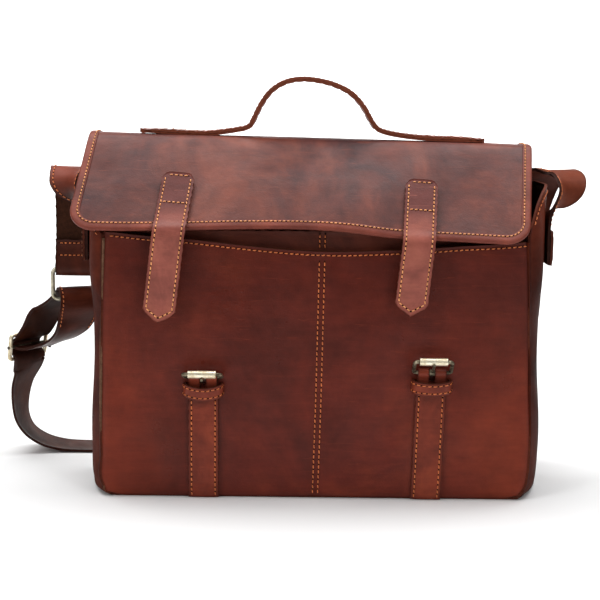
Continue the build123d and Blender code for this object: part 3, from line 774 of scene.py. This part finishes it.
# The turned edge that joins pocket and gusset, with the paler strip at the left
for side, word, edge_of, material in ((-1, "left", left_edge, CUT_PALE),
                                      (1, "right", right_edge, LEATHER_SIDE)):
    z = np.linspace(3, 231, 80)
    middle = np.stack([edge_of(z) + side * 0.2, -46.6 + 0.4 * np.sin(z / 21), z], axis=1)
    verts = [point + vec(c * 1.5, s * 2.3, 0) for point in middle for c, s in circle(8)]
    faces = tube_faces(0, 8, len(middle))
    build("turned_edge_" + word, verts, faces, [material], rim=np.ones(len(verts)), **BODY)


# ---- Flap ----

FLAP_LINE = [(53.4, 286.0), (53.4, 300), (52.6, 308.5), (48.5, 313.9), (40, 315.2), (26, 315.6),
             (17.5, 314.2), (11.5, 310.2), (0, 299.2), (-20, 279.0), (-40, 258.8), (-59.8, 239.0)]
FLAP_PATH, FLAP_S = smooth_path([(0, y, z) for y, z in FLAP_LINE], 1.0)
FLAP_END = FLAP_S[-1]
FOLD_S = float(np.interp(-17.5, -FLAP_PATH[:, 1], FLAP_S))
FLAP_LEATHER = 2.4
FLAP_HALF, FLAP_CORNER = 200.0, 22.0


def flap_way(s):
    """The flap's y and z, s mm along its middle line."""
    return [np.interp(s, FLAP_S, FLAP_PATH[:, k]) for k in (1, 2)]


def down_flap(s):
    """The share of the way from the fold to the flap's front edge."""
    return np.clip((s - FOLD_S) / (FLAP_END - FOLD_S), 0, 1)


def flap_point(x, s, out=0.0):
    """A point on the flap: x across, s mm of leather from the sewn edge behind, out mm off its surface."""
    x, s = np.broadcast_arrays(np.asarray(x, float), np.asarray(s, float))
    y, z = flap_way(s)
    ty, tz = np.subtract(flap_way(np.clip(s + 2, 0, FLAP_END)), flap_way(np.clip(s - 2, 0, FLAP_END)))
    size = np.hypot(ty, tz)
    ny, nz = tz / size, -ty / size
    down = down_flap(s)
    slump = curve_through([-210, -163, -17, 89, 151, 195], [4.0, 3.0, 0.8, -1.2, -2.4, -4.4], x)
    lower = curve_through([-216, -190, -142, -60, -16, 17, 67, 124, 157, 185],
                          [1.0, 0.0, 0.4, 2.6, 2.8, 1.4, -4.0, -6.5, -8.0, -9.0], x)
    top = np.clip((s - 20) / 14, 0, 1)
    z = z + (slump * (1 - down) + (lower + 0.8) * down) * top
    belly = 2.2 * np.sin(np.pi * down) * np.sin(np.pi * np.clip((x + 207) / 400, 0, 1))
    belly = belly + 1.1 * np.sin(x / 43 + 1.0) * np.sin(np.pi * down ** 1.5) * down
    belly = belly + 0.5 * np.sin(x / 19 + s / 27) * np.sin(np.pi * down)
    off = out + belly
    return np.stack([x, y + ny * off, z + nz * off], axis=-1)


def flap_centre(s):
    """The middle of the flap, which leans to the left on its way down."""
    return -7.0 - 10.0 * down_flap(s)


def flap_grid(inset, n=110, m=150):
    """Grid over the flap, whose rows bend to follow its two rounded front corners."""
    half = FLAP_HALF - inset
    bunched = np.sin(np.linspace(-1, 1, m) * math.pi / 2 * 0.93) / math.sin(math.pi / 2 * 0.93)
    t = 0.45 * bunched + 0.55 * np.linspace(-1, 1, m)
    corner = FLAP_CORNER - inset * 0.8
    over = np.clip(np.abs(t) * half - (half - corner), 0, corner)
    last = FLAP_END - inset - rounded(corner, over / corner)
    s = last[None] * np.linspace(0, 1, n)[:, None]
    return flap_point(flap_centre(s) + half * t[None], s)


FLAP_BLEND = ("bag", "flap", (0, 0.0300, 0.3134), (0, 0.0120, 0.3040))
sheet = slab("flap_sheet", flap_grid(1.2), FLAP_LEATHER, FLAP_SHEET, slot="body_leather", bevel=0.4,
             rim_reach=10)
finish_blend(sheet, *FLAP_BLEND, "flap", "top_strip")


def border(inset, out):
    """A path round the flap's two sides and front, inset from its edge, out mm off its surface."""
    half, corner, end = FLAP_HALF - inset, FLAP_CORNER - inset, FLAP_END - inset
    side = [(half, s) for s in np.linspace(24, end - corner, 50)]
    for a in np.radians(np.linspace(0, 90, 14)[1:-1]):
        side.append((half - corner + corner * math.cos(a), end - corner + corner * math.sin(a)))
    front = [(u, end) for u in np.linspace(-(half - corner), half - corner, 120)]
    x, s = np.array([(-u, s) for u, s in side] + front + side[::-1]).T
    return flap_point(x + flap_centre(s), s, out)


# The bound edge: a channel of thin leather over the flap's edge, as (inset, out, rim) lines round it
CHANNEL = [(8.6, 0.06, 0), (8.3, 0.75, 0.05), (7.2, 0.95, 0.3), (5.5, 1.0, 0.8), (3.5, 1.0, 1),
           (1.6, 0.95, 0.9), (0.5, 0.45, 0.6), (0.0, -0.6, 0.5), (0.0, -1.8, 0.5), (0.6, -2.8, 0.6),
           (2.0, -3.25, 0.8), (4.5, -3.25, 1), (7.0, -3.2, 1), (8.4, -3.0, 0.5), (8.5, -2.46, 0)]
rows = np.array([border(inset, out) for inset, out, _ in CHANNEL])
n, m = rows.shape[:2]
last = (n - 1) * m
faces = quads(n, m).tolist() + [(j, j + 1, last + j + 1, last + j) for j in range(m - 1)]
faces += [range(0, n * m, m), range(n * m - 1, 0, -m)]
rim = np.repeat([share for _, _, share in CHANNEL], m)
binding = build("flap_binding_trim", rows.reshape(-1, 3), faces, [LEATHER_TRIM], rim=rim,
                slot="binding_leather")
finish_blend(binding, *FLAP_BLEND, "flap_binding")

FLAP_SEAM = 6.4
inner_line = border(FLAP_SEAM, 1.0)
flap_thread = Stitching("flap_stitching", THREAD_GOLD, 3.7)
flap_thread.row(inner_line, border(FLAP_SEAM, 2.0) - inner_line, width=1.15, gap=1.1)
back_x = np.linspace(-200, 186, 120)
for s in (6.0, 18.0):
    flap_thread.row(flap_point(back_x, s), -FORWARD)
finish_blend(flap_thread.make(), *FLAP_BLEND)


# ---- Closure straps ----

CLOSURE_TOP_Z = 281
CLOSURE_OUT = 2.7
ACROSS = (1, 0, 0)
# For each closure: x of its top, x and z of its tip, and the x of its tail's fold
CLOSURES = {"left": (-123.0, -138.0, 160.0, -0.126), "right": (91.0, 80.0, 168.0, 0.089)}


def closure_top(t):
    return rounded(7.0, np.clip((np.abs(t) - 0.45) / 0.55, 0, 1))


def closure_tip(t):
    return 9.0 * np.abs(t) ** 1.15 + 2.0 * np.clip((np.abs(t) - 0.8) / 0.2, 0, 1) ** 2


def closure(side, x_top, x_tip, tip_z, fold_x):
    """A closure strap: two layers from its sewn top, over the flap's edge, down to its pointed tip."""
    def lean(z):
        return x_top + (x_tip - x_top) * ((CLOSURE_TOP_Z - z) / (CLOSURE_TOP_Z - tip_z))

    stations = []
    for down in (48.5, 56, 64, 72, 80, 88, 96, 103):
        x = lean(flap_point(x_top, FOLD_S + down, CLOSURE_OUT)[2])
        stations.append((flap_point(x, FOLD_S + down, CLOSURE_OUT), ACROSS))
    _, lip_y, lip_z = flap_point(x_top, FLAP_END, CLOSURE_OUT)
    hang = [(-2.2, lip_z - 1.5), (-3.6, lip_z - 6), (-3.4, lip_z - 14), (-2.4, lip_z - 30)]
    for share, dy in ((0.4, -1.6), (0.72, -1.2), (1.0, -2.2)):
        hang.append((dy, lip_z - 30 + (tip_z - (lip_z - 30)) * share))
    stations += [((lean(z), lip_y + dy, z), ACROSS) for dy, z in hang]
    strap = Strap(stations, 28.0, FORWARD, 30.0)
    bend = ("flap", "closure_tail_" + side, (fold_x, -0.0376, 0.2605), (fold_x, -0.0496, 0.2485))
    shape = {"start": closure_top, "end": closure_tip, "slot": "closure_leather"}
    front = strap.piece("closure_strap_front_" + side, 1.25, TAIL_SHEET, out=1.25, crown=0.35, bevel=0.35,
                        rim_reach=5, **shape)
    finish_blend(front, *bend, "closure_strap_" + side, "closure_tail_" + side)
    back = strap.piece("closure_strap_back_" + side, 1.2, TAIL_SHEET, out=-0.02, crown=0.2, bevel=0.3,
                       inset=0.25, **shape)
    finish_blend(back, *bend, "closure_tail_backing_" + side)
    rows = Stitching("closure_stitching_" + side, THREAD_GOLD, 4.1)
    edge, point_s = 11.2, strap.length - 11
    rows.pair(strap, 6, point_s, edge, 1.35, width=1.2)
    s = np.array([point_s, strap.length - 4.0])
    for sign in (-1, 1):
        rows.row(strap.point(s, np.array([sign * edge, 0.3 * sign]), 1.55), strap.at(s)[2], width=1.2)
    rows.row(*strap.cross(3.2, -8.6, 8.6, 1.5), width=1.2)
    rows.row(*strap.cross(33.5, -10, 10, 1.55), width=1.2)
    finish_blend(rows.make(), *bend)


for side, places in CLOSURES.items():
    closure(side, *places)


# ---- Lower straps, chapes and keepers ----

# For each buckle: x of the strap, z of the keeper, z of the bar in the chape, and how far the keeper droops
BUCKLES = {"left": (-99.0, 99.5, 111.0, 3.2), "right": (101.0, 104.5, 117.0, 1.8)}
BAR_Y = -56.8


def lower_strap(side, x, keeper_z, bar_z, droop):
    """A strap sewn up the pocket, its keeper, and the chape that folds round the buckle's bar."""
    foot_x = x if side == "left" else x - 3.0
    z = np.linspace(1.0, keeper_z + 4.5, 12)
    middle = on_front(foot_x + (x - foot_x) * (z / keeper_z), z) + FORWARD * 1.35
    strap = Strap([(point, ACROSS) for point in middle], 26.0, FORWARD, 30.0)
    piece = strap.piece("lower_strap_sheet_" + side, 2.5, BUCKLE_SHEET, crown=0.25, rim_reach=5, **BUCKLE)
    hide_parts("lower_strap_" + side)
    rows = Stitching("lower_strap_stitching_" + side, THREAD_ORANGE, 4.7)
    rows.pair(strap, 1.5, strap.length - 10, 10.4, 1.35, width=1.2)

    # The keeper passes 0.2 mm clear of the chape and the buckle's bar
    front = BAR_Y - 0.2 - 3.4 - 2.0
    half = [(15.4, -50.6), (16.3, -53.5), (15.8, -58.2), (12.5, front + 1.0), (6, front + 0.1),
            (0, front - 0.2)]
    outline = [(-u, y) for u, y in half] + half[-2::-1]
    path = [((x + u, y, keeper_z - droop * (1 - (u / 16) ** 2)), (0, -0.15, 1)) for u, y in outline]
    loop = Strap(path, 11.0, FORWARD, step=1.2)
    piece = loop.piece("keeper_loop_" + side, 1.9, BUCKLE_SHEET, crown=0.25, m=9, bevel=0.35, rim_reach=3,
                       **BUCKLE)
    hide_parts("keeper_" + side)
    rows.pair(loop, 3, loop.length - 3, 3.4, 1.05, width=1.05)
    rows.make("bag")

    # The chape has a slot for the tongue, so it goes round the bar as two bands
    profile = [(-52.9, keeper_z - 4), (-53.4, bar_z - 3), (-54.1, bar_z + 1.6), (-56.0, bar_z + 3.2),
               (-58.3, bar_z + 2.9), (-60.0, bar_z + 0.6), (-59.6, bar_z - 2.4), (-57.6, bar_z - 5.5),
               (-56.9, keeper_z - 2), (-56.6, keeper_z - 5)]
    chape = Strap([((x, y, z), ACROSS) for y, z in profile], 24.5, FORWARD, step=1.0)
    for word, t0, t1 in (("a", -12.2, -2.9), ("b", 2.9, 12.2)):
        s, t = np.meshgrid(np.linspace(0, chape.length, 40), np.linspace(t0, t1, 7), indexing="ij")
        p = facing(chape.point(s, t, 0.3), chape.at(chape.length / 2)[2])
        piece = slab("chape_" + word + "_" + side, p, 1.5, BUCKLE_SHEET, bevel=0.35, rim_reach=3, **BUCKLE)
        if word == "a":
            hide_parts("chape_" + side)


for side, places in BUCKLES.items():
    lower_strap(side, *places)


# ---- Carrying handle ----

HANDLE_X, HANDLE_Y = -5.0, 35.5
ARCH = [(-57.2, 326.4), (-54.3, 331.4), (-47, 346), (-38, 358), (-26, 365.5), (-12, 368.5), (4, 367.5),
        (20, 363.5), (34, 356.5), (45, 345), (53.2, 331.2), (57.2, 325.8)]
LEFT_FOOT = [(-158, 321.5), (-130, 320.0), (-100, 318.7), (-80, 320.6), (-67, 322.8), (-61.6, 323.9)]
RIGHT_FOOT = [(61.6, 323.0), (67, 321.2), (80, 318.8), (100, 316.8), (130, 316.0), (157, 315.6)]
handle_line = [((HANDLE_X + x, HANDLE_Y, z), (0, 1, 0)) for x, z in LEFT_FOOT + ARCH + RIGHT_FOOT]
handle = Strap(handle_line, 26.0, (0, 0, 1), step=1.5)
HANDLE_BEND = ("bag", "handle", (-0.005, 0.0355, 0.3225), (-0.005, 0.0355, 0.3330))


def round_end(t):
    return rounded(8.0, t)


shape = {"start": round_end, "end": round_end, "slot": "handle_leather"}
piece = handle.piece("handle_outer_layer", 1.9, [LEATHER_HANDLE, CUT_DARK, CUT_HANDLE], out=1.95, crown=0.5,
                     skive=1.6, rim_reach=5, **shape)
finish_blend(piece, *HANDLE_BEND, "handle_outer", "handle_foot_left", "handle_foot_right")
piece = handle.piece("handle_inner_layer", 1.9, [CUT_DARK, LEATHER_HANDLE, CUT_HANDLE], out=0.0, crown=0.2,
                     skive=0.8, inset=0.3, **shape)
finish_blend(piece, *HANDLE_BEND, "handle_inner")
rows = Stitching("handle_stitching", THREAD_BROWN, 4.2)
rows.pair(handle, 30, handle.length - 30, 10.0, 1.95)
for s in (30, 52, handle.length - 52, handle.length - 30):
    rows.row(*handle.cross(s, -9, 9, 2.35))
finish_blend(rows.make(), *HANDLE_BEND)


# ---- Shoulder strap and its anchors ----

STRAP_WIDTH, STRAP_LEATHER = 39.0, 2.4
STRAP_PITCH = 4.2
WALL = 190.0 + 14.0 + 0.2 + 1.3


def stations(*rows):
    """Stations of a strap from its middle's x, y and z and the level direction across it."""
    return [((x, y, z), (u, v, 0)) for x, y, z, u, v in rows]


def root(side):
    """Both strap ends rise from the gusset and arch over to the back."""
    rise = ((WALL, 0, 208, 0, 1), (WALL, 0, 244, 0, 1), (WALL + 6, 0, 257, 0.22, 0.97),
            (WALL + 14, 3, 268, 0.52, 0.85), (WALL + 19, 12, 279, 0.8, 0.6), (WALL + 19, 28, 286, 0.93, 0.36))
    return stations(*[(side * x, y, z, side * u, v) for x, y, z, u, v in rise])


# The left strap end, folded round the ring's upper bar
RING_X, RING_Y, RING_TOP, RING_LOW = -226, 58, 189.5, 160.5
FOLD_RADIUS = 5.6
hanging = [(55.5, 270), (59, 250), (59.4, 225), (59.4, 208), (62.8, 196.5)]
hanging += [(RING_Y + FOLD_RADIUS * math.cos(turn), RING_TOP - FOLD_RADIUS * math.sin(turn))
            for turn in np.radians(180 * np.arange(9) / 8)]
hanging += [(53.2, 196.5), (56.6, 208), (56.6, 217)]
left = root(-1) + stations((RING_X, 46, 283, -1, 0.1), *[(RING_X, y, z, -1, 0) for y, z in hanging])
anchor = Strap(left, STRAP_WIDTH, (-1, 0, 0), 10.0)
shape = {"crown": 0.2, "slot": "shoulder_strap_leather", "rim_reach": 5}
piece = anchor.piece("anchor_strap_sheet_left", STRAP_LEATHER, [LEATHER_LONG_PAINTED_LIGHT, FLESH_DARK, CUT_DARK], body="bag",
                     **shape)
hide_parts("anchor_strap_left")
anchor_rows = Stitching("anchor_stitching", THREAD_ORANGE, STRAP_PITCH)
for s in (anchor.length - 3.0, anchor.length - 14.5):
    middle, over, _ = anchor.at(s)
    line = middle + np.outer(np.linspace(-16, 16, 10), over) + FORWARD * 1.45
    anchor_rows.row(line, FORWARD)
anchor_rows.pair(anchor, 34, 118, 16, 1.35)

# The slider stands upright but for a small lean, with its bars across the strap
SLIDER = vec(-280, 88, 110)
BARS = vec(0.6, 0.8, 0)
UPRIGHT = vec(0.17, 0, 0.985)
UPRIGHT = unit(UPRIGHT - BARS * UPRIGHT.dot(BARS))
OUT = np.cross(BARS, UPRIGHT)


def on_slider(*places):
    """Stations at (up, out) places in the slider's own directions."""
    return [(SLIDER + UPRIGHT * up + OUT * out, BARS) for up, out in places]


def ring_bend():
    """The strap's bend round the ring's lower bar, where it hangs 23 degrees aside and 50 degrees down."""
    turn, dip, radius = math.radians(23), math.radians(50), 10.7
    over = vec(math.cos(turn), math.sin(turn), 0)
    level = vec(-math.sin(turn), math.cos(turn), 0)
    away = level * math.cos(dip) - vec(0, 0, 1) * math.sin(dip)
    lift = np.cross(away, over)
    lift = lift if lift[2] > 0 else -lift
    return [(vec(RING_X, RING_Y, RING_LOW) + (lift * math.sin(a) + away * math.cos(a)) * radius, over)
            for a in np.radians(90 + 180 * np.arange(9) / 8)]


# From the slider's middle bar up to the ring, and back through the slider
tab = on_slider((0, 2.6), (0.2, 7), (1.5, 14))
tab += stations((-256, 77, 114, 0.5, 0.86), (-245, 72.5, 119, 0.56, 0.83), (-235, 67.5, 127.5, 0.68, 0.73),
                (-228, 62, 139.5, 0.84, 0.54))
weave = stations((-243, 82, 155, 0.8, 0.6), (-261, 87, 141, 0.7, 0.72))
weave += on_slider((17, 7.5), (12.5, 4.3), (9, 2.4), (7, -0.5), (4.5, -3.8), (0, -5.2), (-4.5, -3.8),
                   (-7, -0.5), (-9, 2.4), (-12, 3.9), (-17, 3.9))
# Down to the floor, along it behind the bag, and up to the right strap end
loose = stations(
    (-280, 90, 87, 0.5, 0.86), (-287, 95, 70, 0.33, 0.94), (-290, 99, 51, 0.2, 0.98),
    (-289, 103, 34, 0.1, 0.99), (-282, 107, 19, 0, 1), (-269, 110, 9, 0, 1), (-251, 112, 3.6, 0, 1),
    (-238, 113, 2.3, 0, 1), (-220, 113.5, 1.9, 0, 1), (-195, 114, 1.8, 0, 1), (-150, 115, 1.8, 0, 1),
    (-60, 114, 1.8, 0, 1), (30, 111, 1.8, 0, 1), (80, 108.5, 1.8, 0, 1), (102, 107, 2.0, 0, 1),
    (124, 104, 3.6, 0.05, 1), (146, 100, 10, 0.15, 0.98), (164, 95, 23, 0.3, 0.95),
    (177, 88, 44, 0.5, 0.86), (185, 80, 72, 0.72, 0.7), (190, 71, 104, 0.9, 0.44), (193, 63, 140, 1, 0.1),
    (194, 58, 170, 1, 0))
right_end = stations((194, 58, 200, 1, 0), (195, 59, 225, 1, 0), (199, 60, 250, 1, 0), (207, 58, 274, 1, 0),
                     (217, 46, 287, 0.97, 0.2))
route = tab + ring_bend()[::-1] + weave + loose + right_end + root(1)[::-1]
FLOOR_S = 480
long_strap = Strap(route, STRAP_WIDTH - 1, (0, 0, -1), FLOOR_S)
piece = long_strap.piece("shoulder_strap_sheet", STRAP_LEATHER, [LONG_FACE, LONG_BACK, CUT_DARK], **shape)
STRAP_BEND = ("bag", "shoulder_strap", (0.194, 0.058, 0.203), (0.1915, 0.058, 0.178))
finish_blend(piece, *STRAP_BEND, "shoulder_strap", "anchor_strap_right")
for t in (-16.6, -13.4):
    points, faces = long_strap.line(long_strap.length - 122, long_strap.length - 34, t, -1.3)
    anchor_rows.row(points, -faces)
anchor_rows.make("bag")

# The loop's stitches are on its outer side, from above the ring round to the slider
turn = ring_bend()[4][0]
turn_s = long_strap.nearest(turn)
outward = 1.0 if long_strap.at(turn_s)[2].dot(turn - vec(RING_X, RING_Y, RING_LOW)) > 0 else -1.0
rows = Stitching("strap_loop_stitching", THREAD_ORANGE, STRAP_PITCH)
for sign in (-1, 1):
    points, faces = long_strap.line(turn_s - 46, turn_s + 16, sign * 16.5, outward * 1.3)
    rows.row(points, faces * outward)
rows.make("shoulder_strap")

for side, word in ((-1, "left"), (1, "right")):
    u, v = np.meshgrid(np.linspace(-1, 1, 14), np.linspace(0, 1, 18), indexing="ij")
    corner = rounded(5.0, np.clip((np.abs(u) - 0.7) / 0.3, 0, 1))
    z0, z1 = 206.5 + corner, 237.5 - corner
    x = WALL + 1.4 + 2.0 + 0.3 * (1 - u ** 4)
    p = np.stack([side * x, 19.0 * u, z0 + (z1 - z0) * v], axis=-1)
    if side < 0:
        p = p[::-1]
    piece = slab("anchor_patch_sheet_" + word, p, 2.0, SIDE_SHEET, body="bag", slot="shoulder_strap_leather",
                 rim_reach=4)
    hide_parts("anchor_patch_" + word)
    rows = Stitching("anchor_patch_stitching_" + word, THREAD_BROWN, STRAP_PITCH)
    box = [(-15.5, 210), (15.5, 210), (15.5, 234), (-15.5, 234), (-15.5, 210)]
    for (y0, z0), (y1, z1) in zip(box, box[1:]):
        k = np.linspace(0, 1, 10)
        line = np.stack([np.full(10, side * (WALL + 3.6)), y0 + (y1 - y0) * k, z0 + (z1 - z0) * k], axis=1)
        rows.row(line, vec(side, 0, 0))
    rows.make("bag")


# ---- Metal and board carried over from CAD ----

def carry(node, material):
    """A CAD node that is kept as it is, with its own material."""
    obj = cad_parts[node]
    obj.data.materials.clear()
    obj.data.materials.append(material)


for side in ("left", "right"):
    carry("buckle_frame_" + side, BRASS_DARK)
    carry("buckle_roller_" + side, BRASS_BRIGHT)
    carry("buckle_tongue_" + side, BRASS_DARK)
carry("strap_ring", BRASS_RING)
carry("slider_frame", BRASS_BRIGHT)
carry("slider_bar", BRASS_DARK)
carry("base_board", BOARD)


# ---- Floor, light and camera ----

def plain(name, rgb):
    material = bpy.data.materials.new(name)
    material.use_nodes = True
    shader = material.node_tree.nodes["Principled BSDF"]
    shader.inputs["Base Color"].default_value = rgb
    shader.inputs["Roughness"].default_value = 0.9
    shader.inputs["Specular IOR Level"].default_value = 0.1
    return material


# The floor rises to a wall far behind the bag, and lies 0.2 mm low so that nothing touches it
profile = [(-2600, 0), (1200, 0), (1800, 20), (2400, 160), (2900, 520), (3200, 1200), (3300, 2600)]
verts = [(x, y, z - 0.2) for y, z in profile for x in (-4000, 4000)]
faces = [(2 * i, 2 * i + 1, 2 * i + 3, 2 * i + 2) for i in range(len(profile) - 1)]
floor = build("studio_floor", verts, faces, [plain("studio_white", (0.86, 0.86, 0.86, 1))])


def area_light(name, at, target, size, power):
    data = bpy.data.lights.new(name, "AREA")
    data.shape = "RECTANGLE"
    data.size, data.size_y = size
    data.energy = power
    obj = bpy.data.objects.new(name, data)
    scene.collection.objects.link(obj)
    obj.location = at
    obj.rotation_euler = (Vector(target) - Vector(at)).to_track_quat("-Z", "Y").to_euler()


area_light("top_softbox", (0.0, 0.30, 1.8), (0, 0.0, 0.1), (2.6, 1.1), 50)
area_light("left_softbox", (-1.5, -1.3, 1.3), (0, 0, 0.15), (0.6, 1.2), 15)
area_light("right_softbox", (1.2, -1.7, 1.4), (0, 0, 0.15), (0.6, 1.0), 12)
area_light("back_light", (0.0, 1.9, 1.4), (0, 2.6, 0.4), (3.5, 1.2), 62)
area_light("floor_light", (0.0, -0.55, 2.4), (0, -0.5, 0.0), (2.0, 0.6), 6)
world = bpy.data.worlds.new("studio")
world.use_nodes = True
world.node_tree.nodes["Background"].inputs["Color"].default_value = (1, 1, 1, 1)
world.node_tree.nodes["Background"].inputs["Strength"].default_value = 0.10
scene.world = world

# The photograph's camera: 1.2 m in front of the bag, looking 9 degrees down
CAMERA_AT = (-0.0151, -1.2543, 0.3695)
pitch, roll = math.radians(9), math.radians(0.64)
forward = vec(0, math.cos(pitch), -math.sin(pitch))
right = vec(1, 0, 0)
up = np.cross(right, forward)
cam_right = right * math.cos(roll) + up * math.sin(roll)
cam_up = up * math.cos(roll) - right * math.sin(roll)
camera = bpy.data.objects.new("camera", bpy.data.cameras.new("camera"))
scene.collection.objects.link(camera)
matrix = Matrix.Identity(4)
for row in range(3):
    matrix[row][:] = (cam_right[row], cam_up[row], -forward[row], CAMERA_AT[row])
camera.matrix_world = matrix
camera.data.lens = 84
camera.data.sensor_width = 36
scene.camera = camera
